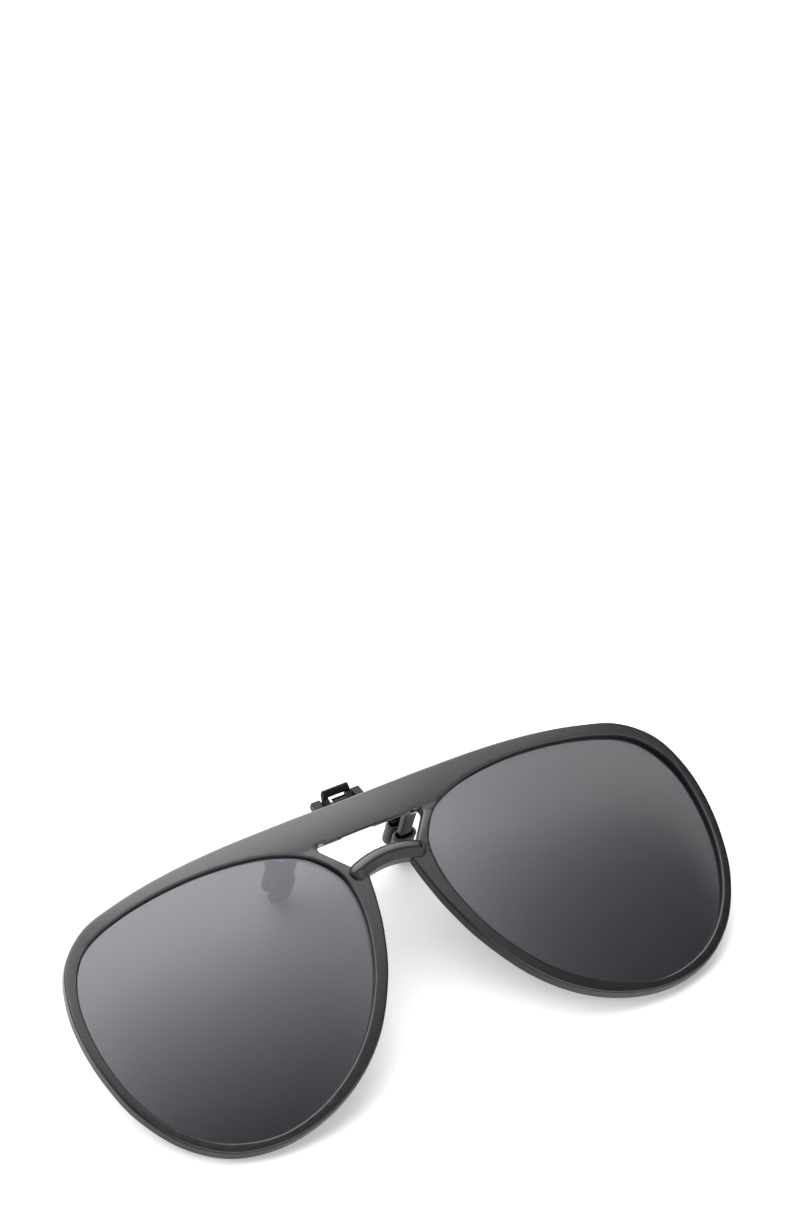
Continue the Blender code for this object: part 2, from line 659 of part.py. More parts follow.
def main():
    for obj in list(bpy.data.objects):
        bpy.data.objects.remove(obj, do_unlink=True)
    face = axis_empty("face", None, (0, 0, 0))
    flip = axis_empty("flip_axis", face, (0, *FLIP_AXIS))
    pivot = axis_empty("jaw_axis", flip, (0, *JAW_AXIS))

    frame_grey = material("frame_grey", (0.075, 0.08, 0.085), 0.45)
    lens_grey = material("lens_grey", (0.05, 0.05, 0.06), 0.05, alpha=0.8)
    clip_black = material("clip_black", (0.012, 0.012, 0.013), 0.3)
    pad_grey = material("pad_grey", (0.03, 0.03, 0.032), 0.6)
    steel = material("steel", (0.5, 0.5, 0.5), 0.3, 1.0)

    make_frame(face, frame_grey)
    make_bracket(face, clip_black)
    headed_pin("flip_pin", FLIP_AXIS, PIN_RADIUS, FLIP_PIN_HALF, flip, steel)
    headed_pin("jaw_pin", JAW_AXIS, JAW_PIN_RADIUS, EAR_SPAN[1] + 0.75, flip, steel)
    make_front_jaw(flip, clip_black)
    make_rear_jaw(pivot, clip_black)
    make_spring(flip, steel)
    for side, word in ((-1, "left"), (1, "right")):
        make_lens(side, word, face, lens_grey)
        make_screw(side, word, face, steel)
        make_washer(side, word, flip, steel)
        make_pad("pad_front_" + word, side, 0.0, flip, pad_grey)
        make_pad("pad_rear_" + word, side, upper_lift(), pivot, pad_grey)
    rest_on_table(face)


main()
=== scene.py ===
"""Looks for the flip-up clip-on sunglasses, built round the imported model.

Shapes are written in the face frame of the glasses, in millimetres: x to the side,
y back from the front face, z up the face. FACE turns that frame into the row's
metres. It is worked out from the two hinge axes, so every piece lands on its node.
"""

import json
import math

import bmesh
import bpy
from mathutils import Matrix, Vector
from mathutils.geometry import tessellate_polygon


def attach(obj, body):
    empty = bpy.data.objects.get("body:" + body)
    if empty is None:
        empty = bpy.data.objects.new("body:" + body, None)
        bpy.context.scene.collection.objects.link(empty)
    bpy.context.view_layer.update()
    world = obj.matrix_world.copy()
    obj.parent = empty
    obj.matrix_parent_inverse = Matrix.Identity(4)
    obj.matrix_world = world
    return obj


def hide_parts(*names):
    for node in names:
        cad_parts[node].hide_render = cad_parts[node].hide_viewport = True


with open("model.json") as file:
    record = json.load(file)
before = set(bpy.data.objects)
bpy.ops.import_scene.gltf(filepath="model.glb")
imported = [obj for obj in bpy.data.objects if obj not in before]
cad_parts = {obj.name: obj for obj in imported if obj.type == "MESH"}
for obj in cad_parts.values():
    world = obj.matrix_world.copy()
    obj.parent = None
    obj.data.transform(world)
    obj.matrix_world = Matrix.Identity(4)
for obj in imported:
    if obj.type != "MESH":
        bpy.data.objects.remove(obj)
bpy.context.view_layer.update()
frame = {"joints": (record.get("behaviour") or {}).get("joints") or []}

MM = 0.001

# ---- the frame moulding ----------------------------------------------------
RIM_DEPTH = 3.2
FRONT_ROUND = 0.45
HOLE_ROUND = 0.35
BACK_ROUND = 0.5
BEND_SLOPE = 0.12
BEND_BLEND = 10.0
FACE_RADIUS = 400.0
OUTER_HALF = [(0, 29.8), (16, 30.2), (30, 30.4), (42, 29.8), (52, 28.3), (60.3, 25.9),
              (66.4, 20.6), (69.3, 13.0), (70, 4.5), (68.9, -4.4), (66.3, -12.7),
              (60.9, -21.0), (53.0, -26.8), (43.2, -28.8), (33.4, -27.4), (24.4, -23.2),
              (16.8, -16.4), (10.8, -7.1), (7.4, 1.3), (5.7, 8.0), (4.8, 13.2)]
BRIDGE_SIDE = [(5.6, 14.6), (7.4, 16.4)]
BRIDGE_CORNER = (11.8, 22.6)
CORNER_ROUND = 0.6
LENS_OPENING = [(9.2, 12.4), (9.7, 4.4), (13.0, -5.5), (18.7, -14.4), (25.9, -21.0),
                (34.6, -25.4), (44.2, -26.8), (54.0, -23.9), (61.5, -17.0), (66.2, -7.3),
                (67.9, 4.0), (66.6, 14.2), (61.5, 21.8), (51.5, 25.6), (37.5, 27.0),
                (24.4, 25.7), (15.5, 22.3), (10.8, 17.3)]
OUTLINE_STEPS = 7
OUTLINE_INSET = 0.06       # keeps the fine curve inside the coarser model
ROUND_STEPS = 5
OPENING_DRAFT = 0.2
OPENING_BAND = 0.8         # height of the band round the opening's top that the draft moves
OPENING_END = 0.3          # how far from the opening's sides the draft stops
BRIDGE_STEPS = 12
SLICE_X = 3.5              # spacing of the cuts that let the flat faces follow the bend
SLICE_Z = 1.6
SLICE_REACH = (70, 32)     # half width and half height that the cuts cover
SLICE_SHIFT = 0.37         # keeps the cuts off the outline's own points
CROWN_DEPTH = 0.13         # how far the brow bar's edges lie behind its middle line
CROWN_HALF = 3.8           # from the bar's middle line to its edges
CROWN_REACH = 60.0
CROWN_FADE = 20.0
FRONT_SKIN = 0.8           # share of the front rounding that moves with the front face
NORMAL_WEIGHT = 80
BEVEL_STEPS = 3
BEVEL_ABOVE = math.radians(25)

# ---- painted shade in the plastic's sheen, over the row's own millimetres ---
RIM_TO_BAR = (7.0, 18.0)   # y over which the sheen rises from the rims to the bar, painting shade on the rims
END_X = 44.0               # past this x the sheen falls off: painted shade on the far ends
END_DROP = 0.7
SIDE_TURN = (0.3, 0.9)     # how far a wall faces sideways as its sheen fades into painted shade
SIDE_SHADED_SHEEN = 0.3           # share of the sheen left on walls that face sideways: painted shade on them
NOISE_MIDDLE = (0.3, 0.7)  # the part of a noise's range that drives a value

# ---- the arch --------------------------------------------------------------
ARCH_RADIUS = 19.0
ARCH_TOP = 15.8
ARCH_HALF_ANGLE = 20.0
ARCH_HALF_WIDTH = 1.8
ARCH_HEIGHT = 1.9
ARCH_STEPS = 48
ARCH_ROUND = (6, 102)      # degrees, where the round top starts and how far it turns
ARCH_ROUND_STEPS = 12
ARCH_FOOT = 0.2            # depth of the facet's lower edge, in front of the face
ARCH_BACK = 2.4
ARCH_END_STEPS = 8
ARCH_END_WIDTH = 0.35      # share of the width that is left at the very ends
ARCH_END_HEIGHT = 0.12

# ---- the lenses ------------------------------------------------------------
LENS_THICK = 1.1
LENS_SET_BACK = 1.1
LENS_TUCK = 0.55
GROOVE_GAP = 0.16
LENS_RINGS = 10

# ---- the hinges ------------------------------------------------------------
FLIP_AXIS = (7.4, 25.3)    # y, z
JAW_AXIS = (10.1, 31.5)
LUG_RADIUS = 1.4
LUG_FLAT = 0.9        # from the axis down to the lugs' flat underside
LUG_SPAN = (3.5, 10.9)
WASHER_SPAN = (11.05, 11.45)
KNUCKLE_SPAN = (11.6, 15.6)
FLIP_PIN = (0.6, 16.2)     # radius, half length
JAW_PIN = (0.55, 5.95)
BRACKET_HALF = 11.2
BRACKET_GAP = 0.3
BRACKET_THICK = 1.2
BRACKET_Z = (24.3, 29.2)
BRACKET_NOTCH = 2.8        # height of the gap between the lugs
BRACKET_CUT = 1.6          # cut corners
BROAD_FACE = 4             # square millimetres, for faces that have to follow the bend
LUG_ROOT = 0.35            # overlap of the lugs with the plate
SCREW = (7.4, 28.15)       # x, z
SCREW_HEAD = (1.0, 0.6)    # radius, height
SCREW_DOME = 0.42
SCREW_SHANK = (0.5, 1.5)   # radius, length
SCREW_GAP = 0.05
SLOT_CUT = (0.6, 0.3)      # the cutter's depth and width
SLOT_TURN = 24
PIN_HEAD = 1.45            # the head's radius over the pin's
PIN_HEAD_LENGTH = 0.5
PIN_HEAD_ROUND = 0.22
WASHER_INSET = 0.3
WASHER_EDGE = 0.08
WASHER_PLAY = 0.08

# ---- the jaws --------------------------------------------------------------
EAR_SPAN = (3.4, 5.4)
EAR_RADIUS = 1.4
EAR_TOP = (10.9, 34.1)      # y, z
FORK_SPAN = (1.9, 3.1)
FORK_RADIUS = 1.35
POST_HALF = 1.6
POST_Y = (7.75, 8.35)
POST_TIP = (8.6, 33.05)     # y, z: it leans back over the coil
WEB_Y = (9.4, 11.4)
WEB_Z = (26.9, 29.0)
BEAM_Y = (12.4, 14.3)
BEAM_Z = (30.9, 32.6)
ARM_SPAN = (12.1, 15.5)
LOWER_SPAN = (12.1, 14.8)
UPPER_SPAN = (13.3, 16.0)
ARM_THICK = 1.5
TIP_THICK = 1.0
ARM_STEPS = 4
LOWER_ARM = [(7.4, 26.0), (12.0, 25.75), (20.2, 24.7)]
UPPER_ARM = [(13.3, 31.8), (16.4, 31.3), (18.4, 30.3), (19.6, 28.9), (20.15, 27.8)]
TIP_LENGTH = 6.0
TIP_ROOT = 1.0             # how far a tip starts inside the arm
TIP_PAST = 0.6
TIP_INSET = 0.1
TAB_HALF = 2.9
TAB_Y = (8.0, 9.1)
TAB_TOP = (35.2, 33.3)
TAB_THICK = 1.6
EDGE = {"bracket": 0.25, "lug": 0.22, "web": 0.3, "knuckle": 0.25, "ear": 0.22, "post": 0.12,
        "beam": 0.3, "fork": 0.18, "tab": 0.16, "arm": 0.3, "tip": 0.2}    # edge rounding

# ---- the pads --------------------------------------------------------------
PAD_WIDTH = 5.2
PAD_THICK = 2.6
PAD_LENGTH = 8.0
PAD_START = (20.6, 24.62)
PAD_SLOPE = math.radians(-7.1)
PAD_GAP = 0.3
PAD_SQUARE = 2.6           # power of the pad's rounded-rectangle section
PAD_WAIST = 0.07           # how much thinner the sleeve is than its lip
PAD_LIP_END = 1.2
# From the hollow's bottom round the lip: reach, inset across, inset in thickness, power.
PAD_MOUTH = [(1.6, 0.75, 0.6, 5), (0.3, 0.75, 0.6, 5), (0.05, 0.6, 0.45, 4),
             (0.0, 0.3, 0.22, PAD_SQUARE), (0.12, 0.08, 0.06, PAD_SQUARE),
             (0.4, 0, 0, PAD_SQUARE), (0.9, 0, 0, PAD_SQUARE),
             (PAD_LIP_END, PAD_WAIST, PAD_WAIST, PAD_SQUARE)]

# ---- the spring ------------------------------------------------------------
WIRE_RADIUS = 0.22
COIL_RADIUS = 1.2
COIL_TURNS = 3
COIL_PITCH = 0.7
COIL_SIDES = 24
LEG_REACH = 4.0

# ---- the view --------------------------------------------------------------
SENSOR_HEIGHT = 24.0
FOCAL_LENGTH = 100.634754
CAMERA_DISTANCE = 1.0
CAMERA_AZIMUTH = math.radians(-31.65)
CAMERA_ELEVATION = math.radians(44.90)
CAMERA_ROLL = math.radians(3.18)
CAMERA_OFFSET = (-0.0022, 0.06172)     # in the picture's plane, from the object's middle
LOOK_AT = Vector((0, 0, 0.012))

# ---- the light: how bright the surroundings are in each direction ----------
BOX_STRENGTH = 7.0     # a wide softbox overhead, behind and to the left
BOX_FADE_X = (0.63, 0.50)
BOX_SLOPE_X = (1.3, 0.0)
BOX_FADE_Y = (-0.32, 0.25)
BOX_FADE_Z = (0.0, 0.4)
FILL_STRENGTH = 4.0        # a fill from the front
FILL_FADE_Y = (-0.35, -0.7)
FILL_FADE_Z = (0.1, 0.5)
AMBIENT = 0.05
FLOOR_ALBEDO = 0.53
FLOOR_GLOW = 0.05
SWEEP_START = 2.2      # where the floor starts to curve up
SWEEP_RADIUS = 1.0
SWEEP_ANGLE = 55.0
SWEEP_STEPS = 12
FLOOR_SIDES = 96
FLOOR_HUB = 0.02       # radius of the floor's middle face


def face_matrix():
    """From face millimetres to the row's metres, through the two hinge axes."""
    places = {joint["name"]: Vector(joint["pos_m"]) for joint in frame["joints"]}
    flip, jaw = places["flip_hinge"], places["jaw_hinge"]
    seen = jaw - flip
    turn = math.atan2(seen.z, seen.y)
    turn -= math.atan2(JAW_AXIS[1] - FLIP_AXIS[1], JAW_AXIS[0] - FLIP_AXIS[0])
    return (Matrix.Translation(flip) @ Matrix.Rotation(turn, 4, "X") @ Matrix.Scale(MM, 4)
            @ Matrix.Translation((0, -FLIP_AXIS[0], -FLIP_AXIS[1])))


FACE = face_matrix()


def face_y(x, z):
    """How far the bent front face lies back at a place."""
    bend = BEND_SLOPE * (math.hypot(x, BEND_BLEND) - BEND_BLEND)
    return bend + z * z / (2 * FACE_RADIUS)


# ---- outlines --------------------------------------------------------------
def smooth(points, steps, closed):
    """A Catmull-Rom curve through the points."""
    count = len(points)
    out = []
    for i in range(count if closed else count - 1):
        a, b, c, d = (points[k % count] if closed else points[min(max(k, 0), count - 1)]
                      for k in (i - 1, i, i + 1, i + 2))
        for s in range(steps):
            t = s / steps
            out.append(tuple(
                0.5 * (2 * b[j] + (c[j] - a[j]) * t
                       + (2 * a[j] - 5 * b[j] + 4 * c[j] - d[j]) * t * t
                       + (3 * b[j] - a[j] - 3 * c[j] + d[j]) * t ** 3) for j in (0, 1)))
    if not closed:
        out.append(tuple(points[-1]))
    return out


def rounded_corner(before, corner, after, radius, steps):
    u = (Vector(before) - Vector(corner)).normalized()
    v = (Vector(after) - Vector(corner)).normalized()
    half = u.angle(v) / 2
    centre = Vector(corner) + (u + v).normalized() * (radius / math.sin(half))
    start = Vector(corner) + u * (radius / math.tan(half)) - centre
    end = Vector(corner) + v * (radius / math.tan(half)) - centre
    return [tuple(centre + start.slerp(end, k / steps)) for k in range(steps + 1)]


def anticlockwise(loop):
    area = sum(a[0] * b[1] - b[0] * a[1] for a, b in zip(loop, loop[1:] + loop[:1]))
    return loop if area > 0 else loop[::-1]


def offset_loop(loop, distance):
    """The anticlockwise loop moved outwards by distance."""
    out = []
    for before, here, after in zip(loop[-1:] + loop[:-1], loop, loop[1:] + loop[:1]):
        a = (Vector(here) - Vector(before)).normalized()
        b = (Vector(after) - Vector(here)).normalized()
        normal = Vector((a.y + b.y, -a.x - b.x)).normalized()
        reach = distance / max(0.5, normal.dot(Vector((b.y, -b.x))))
        out.append((here[0] + normal.x * reach, here[1] + normal.y * reach))
    return out


def frame_outline():
    mirror = [(-x, z) for x, z in OUTER_HALF[:0:-1]]
    outside = smooth([mirror[-2], mirror[-1]] + OUTER_HALF, OUTLINE_STEPS, False)
    right = outside[2 * OUTLINE_STEPS:]
    right += BRIDGE_SIDE
    right += rounded_corner(BRIDGE_SIDE[-1], BRIDGE_CORNER, (0, BRIDGE_CORNER[1]),
                            CORNER_ROUND, 8)
    right += [(BRIDGE_CORNER[0] * k / BRIDGE_STEPS, BRIDGE_CORNER[1])
              for k in range(BRIDGE_STEPS - 2, 0, -1)]
    left = [(-x, z) for x, z in right[:0:-1]]
    return anticlockwise(right + [(0, BRIDGE_CORNER[1])] + left)


def lens_outline(side, grow=0.0):
    loop = anticlockwise([(side * x, z) for x, z in smooth(LENS_OPENING, OUTLINE_STEPS, True)])
    return offset_loop(loop, grow)


def disc(centre, radius, start=0.0, stop=360.0, sides=40):
    whole = abs(stop - start) >= 360
    count = sides if whole else max(2, round(sides * abs(stop - start) / 360))
    angles = [math.radians(start + (stop - start) * k / count)
              for k in range(count if whole else count + 1)]
    return [(centre[0] + radius * math.cos(a), centre[1] + radius * math.sin(a)) for a in angles]


# ---- meshes ----------------------------------------------------------------
def wall(bm, loops):
    """Quads between loops of equal length. Returns the vertex rings."""
    rings = [[bm.verts.new(p) for p in loop] for loop in loops]
    for low, high in zip(rings, rings[1:]):
        for i in range(len(low)):
            j = (i + 1) % len(low)
            bm.faces.new((low[i], low[j], high[j], high[i]))
    return rings


def cap(bm, rings):
    """Triangles that fill the first ring and leave the others open."""
    verts = [v for ring in rings for v in ring]
    flat = [[Vector((v.co.x, v.co.z, 0)) for v in ring] for ring in rings]
    return [bm.faces.new([verts[k] for k in tri]) for tri in tessellate_polygon(flat)]


def slice_faces(bm, faces):
    """Cut flat faces along a grid fine enough to follow the bend."""
    faces = set(faces)
    for axis, spacing, reach in ((0, SLICE_X, SLICE_REACH[0]), (2, SLICE_Z, SLICE_REACH[1])):
        normal = [0, 0, 0]
        normal[axis] = 1
        count = int(reach / spacing)
        for k in range(-count, count + 1):
            where = Vector(normal) * (k + SLICE_SHIFT) * spacing
            faces = {f for f in faces if f.is_valid}
            edges = {e for f in faces for e in f.edges}
            verts = {v for f in faces for v in f.verts}
            cut = bmesh.ops.bisect_plane(bm, geom=list(verts) + list(edges) + list(faces),
                                         dist=1e-4, plane_co=where, plane_no=normal)
            faces |= {g for g in cut["geom"] if isinstance(g, bmesh.types.BMFace)}


def bend(bm):
    """Set every point back by the bend of the face."""
    for v in bm.verts:
        v.co.y += face_y(v.co.x, v.co.z)


def crown(bm):
    """Round the brow bar's front a little from top to bottom, and blend it out below."""
    middle = (OUTER_HALF[1][1] + BRIDGE_CORNER[1]) / 2
    for v in bm.verts:
        if v.co.y < FRONT_ROUND * FRONT_SKIN:
            away = (v.co.z - middle) / CROWN_HALF
            share = min(1.0, away * away)
            if away < -1:
                share = max(0.0, 1 - (-away - 1) / 2)
            side = min(1.0, max(0.0, (CROWN_REACH - abs(v.co.x)) / CROWN_FADE))
            v.co.y += CROWN_DEPTH * side * side * (3 - 2 * side) * share


def finish(name, bm, mat, body, nodes=(), sharp=35):
    """Turn face millimetres into an object of the row that rides a body."""
    bmesh.ops.recalc_face_normals(bm, faces=bm.faces)
    bm.transform(FACE)
    mesh = bpy.data.meshes.new(name)
    bm.to_mesh(mesh)
    bm.free()
    mesh.shade_smooth()
    mesh.set_sharp_from_angle(angle=math.radians(sharp))
    mesh.materials.append(mat)
    obj = bpy.data.objects.new(name, mesh)
    bpy.context.scene.collection.objects.link(obj)
    even = obj.modifiers.new("even_normals", "WEIGHTED_NORMAL")
    even.keep_sharp = True
    even.weight = NORMAL_WEIGHT
    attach(obj, body)
    if nodes:
        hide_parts(*nodes)
    return obj


def add(bm, other):
    """Copy other's shape into bm and free it."""
    mesh = bpy.data.meshes.new("part")
    other.to_mesh(mesh)
    other.free()
    bm.from_mesh(mesh)
    bpy.data.meshes.remove(mesh)


def round_edges(bm, radius):
    """Bevel every edge that turns by more than BEVEL_ABOVE."""
    bmesh.ops.recalc_face_normals(bm, faces=bm.faces)
    edges = [e for e in bm.edges if e.is_manifold and e.calc_face_angle() > BEVEL_ABOVE]
    bmesh.ops.bevel(bm, geom=edges, offset=radius, offset_type="OFFSET", segments=BEVEL_STEPS,
                    profile=0.5, affect="EDGES", clamp_overlap=True)
    return bm


def prism(profile, x_low, x_high, radius):
    """A (y, z) profile extruded along x, with its edges rounded."""
    bm = bmesh.new()
    rings = wall(bm, [[(x, y, z) for y, z in profile] for x in (x_low, x_high)])
    bm.faces.new(rings[0])
    bm.faces.new(rings[1])
    return round_edges(bm, radius)


def turned(profile, centre):
    """A solid turned about an x axis through centre (y, z), from (x, radius) pairs."""
    bm = bmesh.new()
    rings = wall(bm, [[(x, y, z) for y, z in disc(centre, r)] for x, r in profile])
    bm.faces.new(rings[0])
    bm.faces.new(rings[-1])
    return bm


def ribbon(middle, thickness):
    """The closed (y, z) profile of a strip of even thickness along a line."""
    upper, lower = [], []
    for i, here in enumerate(middle):
        before = middle[max(i - 1, 0)]
        after = middle[min(i + 1, len(middle) - 1)]
        along = (Vector(after) - Vector(before)).normalized()
        step = Vector((-along.y, along.x)) * thickness / 2
        upper.append(tuple(Vector(here) + step))
        lower.append(tuple(Vector(here) - step))
    return upper + lower[::-1]


def wire(points, radius, sides=12):
    """A round wire bent along the points."""
    points = [Vector(p) for p in points]
    side = None
    loops = []
    for i, here in enumerate(points):
        along = (points[min(i + 1, len(points) - 1)] - points[max(i - 1, 0)]).normalized()
        side = (along.orthogonal() if side is None else side - along * side.dot(along)).normalized()
        other = along.cross(side)
        loops.append([tuple(here + (side * math.cos(a) + other * math.sin(a)) * radius)
                      for a in (2 * math.pi * k / sides for k in range(sides))])
    bm = bmesh.new()
    rings = wall(bm, loops)
    bm.faces.new(rings[0])
    bm.faces.new(rings[-1])
    return bm


# ---- materials -------------------------------------------------------------
def maths(tree, operation, *values):
    """A maths node over sockets and plain numbers. Returns its output."""
    node = tree.nodes.new("ShaderNodeMath")
    node.operation = operation
    for socket, value in zip(node.inputs, values):
        if isinstance(value, float):
            socket.default_value = value
        else:
            tree.links.new(value, socket)
    return node.outputs["Value"]


def ramp(tree, source, reach, values=(0.0, 1.0), kind="SMOOTHSTEP"):
    """Turn a source that runs over reach into one that runs over values."""
    node = tree.nodes.new("ShaderNodeMapRange")
    node.interpolation_type = kind
    for word, value in zip(("From Min", "From Max", "To Min", "To Max"), (*reach, *values)):
        node.inputs[word].default_value = value
    tree.links.new(source, node.inputs["Value"])
    return node.outputs["Result"]


class Look:
    """A Principled material with helpers for its procedural detail."""

    def __init__(self, name, colour, roughness, metallic=0.0, ior=1.5):
        self.mat = bpy.data.materials.new(name)
        self.mat.use_nodes = True
        self.tree = self.mat.node_tree
        self.shader = self.tree.nodes["Principled BSDF"]
        self.set("Base Color", (*colour, 1))
        self.set("Roughness", roughness)
        self.set("Metallic", metallic)
        self.set("IOR", ior)

    def set(self, socket, value):
        self.shader.inputs[socket].default_value = value

    def noise(self, scale, detail=4.0, stretch=(1, 1, 1)):
        """Noise over the row's own millimetres."""
        nodes, links = self.tree.nodes, self.tree.links
        where = nodes.new("ShaderNodeTexCoord")
        size = nodes.new("ShaderNodeMapping")
        size.inputs["Scale"].default_value = [k / MM for k in stretch]
        grain = nodes.new("ShaderNodeTexNoise")
        grain.inputs["Scale"].default_value = scale
        grain.inputs["Detail"].default_value = detail
        grain.inputs["Roughness"].default_value = 0.55
        links.new(where.outputs["Object"], size.inputs["Vector"])
        links.new(size.outputs["Vector"], grain.inputs["Vector"])
        return grain.outputs["Fac"]

    def spread(self, source, low, high, socket):
        """Drive a socket from low to high by the middle of a 0 to 1 source."""
        level = ramp(self.tree, source, NOISE_MIDDLE, (low, high), "LINEAR")
        self.tree.links.new(level, self.shader.inputs[socket])

    def painted_shade_sheen(self, rim, bar):
        """Painted shade: raise the reflection from rims to bar, and lower it at the far ends and on
        side walls, so these read darker.
        """
        tree = self.tree
        where = tree.nodes.new("ShaderNodeTexCoord")
        place = tree.nodes.new("ShaderNodeSeparateXYZ")
        facing = tree.nodes.new("ShaderNodeSeparateXYZ")
        tree.links.new(where.outputs["Object"], place.inputs["Vector"])
        tree.links.new(where.outputs["Normal"], facing.inputs["Vector"])
        # painted shade: less reflection past END_X, towards the rims and on walls that face
        # sideways
        far = maths(tree, "SUBTRACT", maths(tree, "ABSOLUTE", place.outputs["X"]), END_X * MM)
        drop = maths(tree, "MULTIPLY", maths(tree, "MAXIMUM", far, 0.0), END_DROP)
        height = maths(tree, "SUBTRACT", place.outputs["Y"], drop)
        level = ramp(tree, height, [y * MM for y in RIM_TO_BAR], (rim, bar))
        sideways = maths(tree, "ABSOLUTE", facing.outputs["X"])
        share = ramp(tree, sideways, SIDE_TURN, (1.0, SIDE_SHADED_SHEEN))
        level = maths(tree, "MULTIPLY", level, share)
        tree.links.new(level, self.shader.inputs["Specular IOR Level"])

    def tones(self, source, dark, light):
        """Drive the colour between two tones."""
        blend = self.tree.nodes.new("ShaderNodeValToRGB")
        stops = zip(blend.color_ramp.elements, NOISE_MIDDLE, (dark, light))
        for element, position, colour in stops:
            element.position = position
            element.color = (*colour, 1)
        self.tree.links.new(source, blend.inputs["Fac"])
        self.tree.links.new(blend.outputs["Color"], self.shader.inputs["Base Color"])

    def bump(self, source, height_mm, strength):
        bump = self.tree.nodes.new("ShaderNodeBump")
        bump.inputs["Strength"].default_value = strength
        bump.inputs["Distance"].default_value = height_mm * MM
        self.tree.links.new(source, bump.inputs["Height"])
        self.tree.links.new(bump.outputs["Normal"], self.shader.inputs["Normal"])


def frame_look():
    """Satin moulded plastic: fine grain, and painted shade in its sheen, lowered on rims, far ends
    and side walls.
    """
    look = Look("frame_satin", (0.004, 0.005, 0.005), 0.22)
    look.tones(look.noise(0.35), (0.0035, 0.0045, 0.0045), (0.005, 0.006, 0.006))
    look.spread(look.noise(0.8, 6), 0.2, 0.25, "Roughness")
    look.bump(look.noise(7.0, 3), 0.005, 0.4)
    # painted shade: the rims get less sheen than the bar
    look.painted_shade_sheen(0.34, 0.5)
    return look.mat


def arch_look():
    """The same plastic with a duller polish."""
    look = Look("arch_satin", (0.004, 0.005, 0.005), 0.26, ior=1.41)
    look.spread(look.noise(0.8, 6), 0.23, 0.29, "Roughness")
    look.bump(look.noise(7.0, 3), 0.005, 0.4)
    return look.mat


def painted_shade_look():
    """Painted shade: the frame's plastic made dark and dull, so the bridge opening's walls under
    the brow bar read as shaded.
    """
    look = Look("frame_painted_shade", (0.003, 0.004, 0.004), 0.5, ior=1.17)
    look.spread(look.noise(1.0, 5), 0.42, 0.58, "Roughness")
    look.bump(look.noise(6.0, 3), 0.006, 0.4)
    return look.mat


def lens_look(name, alpha):
    """See-through grey with a hard polished skin."""
    look = Look(name, (0.004, 0.004, 0.006), 0.02, ior=1.6)
    look.set("Alpha", alpha)
    look.set("Specular Tint", (0.9, 0.9, 1.0, 1))
    look.spread(look.noise(0.05, 2), 0.01, 0.025, "Roughness")
    return look.mat


def clip_look():
    """Glossy black enamel with a slight orange peel."""
    look = Look("clip_enamel", (0.0025, 0.0025, 0.0028), 0.2, ior=1.2)
    look.spread(look.noise(1.2, 5), 0.14, 0.26, "Roughness")
    look.bump(look.noise(2.2, 2), 0.01, 0.35)
    return look.mat


def pad_look():
    """Soft dark silicone, half matte."""
    look = Look("pad_silicone", (0.03, 0.03, 0.031), 0.55, ior=1.42)
    look.set("Subsurface Weight", 0.15)
    look.set("Subsurface Scale", 0.0008)
    look.tones(look.noise(0.9), (0.024, 0.024, 0.025), (0.036, 0.036, 0.037))
    look.bump(look.noise(9.0, 3), 0.008, 0.4)
    return look.mat


def steel_look():
    """Blackened steel with turning marks."""
    look = Look("pin_steel", (0.07, 0.07, 0.073), 0.28, metallic=1.0)
    look.spread(look.noise(6.0, 4, stretch=(0.15, 1, 1)), 0.2, 0.4, "Roughness")
    look.bump(look.noise(14.0, 2, stretch=(0.1, 1, 1)), 0.004, 0.4)
    return look.mat


def spring_look():
    """Dark oiled spring wire."""
    look = Look("spring_steel", (0.06, 0.06, 0.063), 0.3, metallic=1.0)
    look.spread(look.noise(5.0, 3), 0.22, 0.38, "Roughness")
    return look.mat


# ---- the frame moulding ----------------------------------------------------
def rounded_walls(front_round):
    """Inset and depth of the loops round the front edge, and of those round the back edge."""
    quarter = [math.radians(90 * k / ROUND_STEPS) for k in range(ROUND_STEPS + 1)]
    front = [(front_round * (1 - math.sin(a)), front_round * (1 - math.cos(a))) for a in quarter]
    back = [(BACK_ROUND * (1 - math.cos(a)), RIM_DEPTH - BACK_ROUND * (1 - math.sin(a)))
            for a in quarter]
    return front, back


def outer_profile():
    """Inset and depth of each loop round the outside, from front face to back."""
    front, back = rounded_walls(FRONT_ROUND)
    return front + back


def hole_profile():
    """The same for a lens hole, with the groove that takes the lens."""
    front, back = rounded_walls(HOLE_ROUND)
    tuck = LENS_TUCK + GROOVE_GAP
    top, bottom = LENS_SET_BACK - GROOVE_GAP, LENS_SET_BACK + LENS_THICK + GROOVE_GAP
    return front + [(0, top), (tuck, top), (tuck, bottom), (0, bottom)] + back


def moulding():
    bm = bmesh.new()
    fronts, backs = [], []
    loops = [(-1, offset_loop(frame_outline(), -OUTLINE_INSET), outer_profile())]
    loops += [(1, lens_outline(side), hole_profile()) for side in (-1, 1)]
    for number, (sign, loop, profile) in enumerate(loops):
        rings = wall(bm, [[(x, y, z) for x, z in offset_loop(loop, sign * inset)]
                          for inset, y in profile])
        if number == 0:
            # painted shade on the bridge opening's walls
            mark_shaded_walls(bm)
        fronts.append(rings[0])
        backs.append(rings[-1])
    slice_faces(bm, cap(bm, fronts) + cap(bm, backs))
    draft_opening(bm)
    crown(bm)
    bend(bm)
    return bm


def draft_opening(bm):
    """Slope the underside of the brow bar up towards the back, as a mould's draft does."""
    for v in bm.verts:
        under = abs(v.co.z - BRIDGE_CORNER[1]) < OPENING_BAND
        inside = abs(v.co.x) < BRIDGE_CORNER[0] - OPENING_END
        if under and inside and v.co.y > FRONT_ROUND:
            v.co.z += OPENING_DRAFT * (v.co.y - FRONT_ROUND)


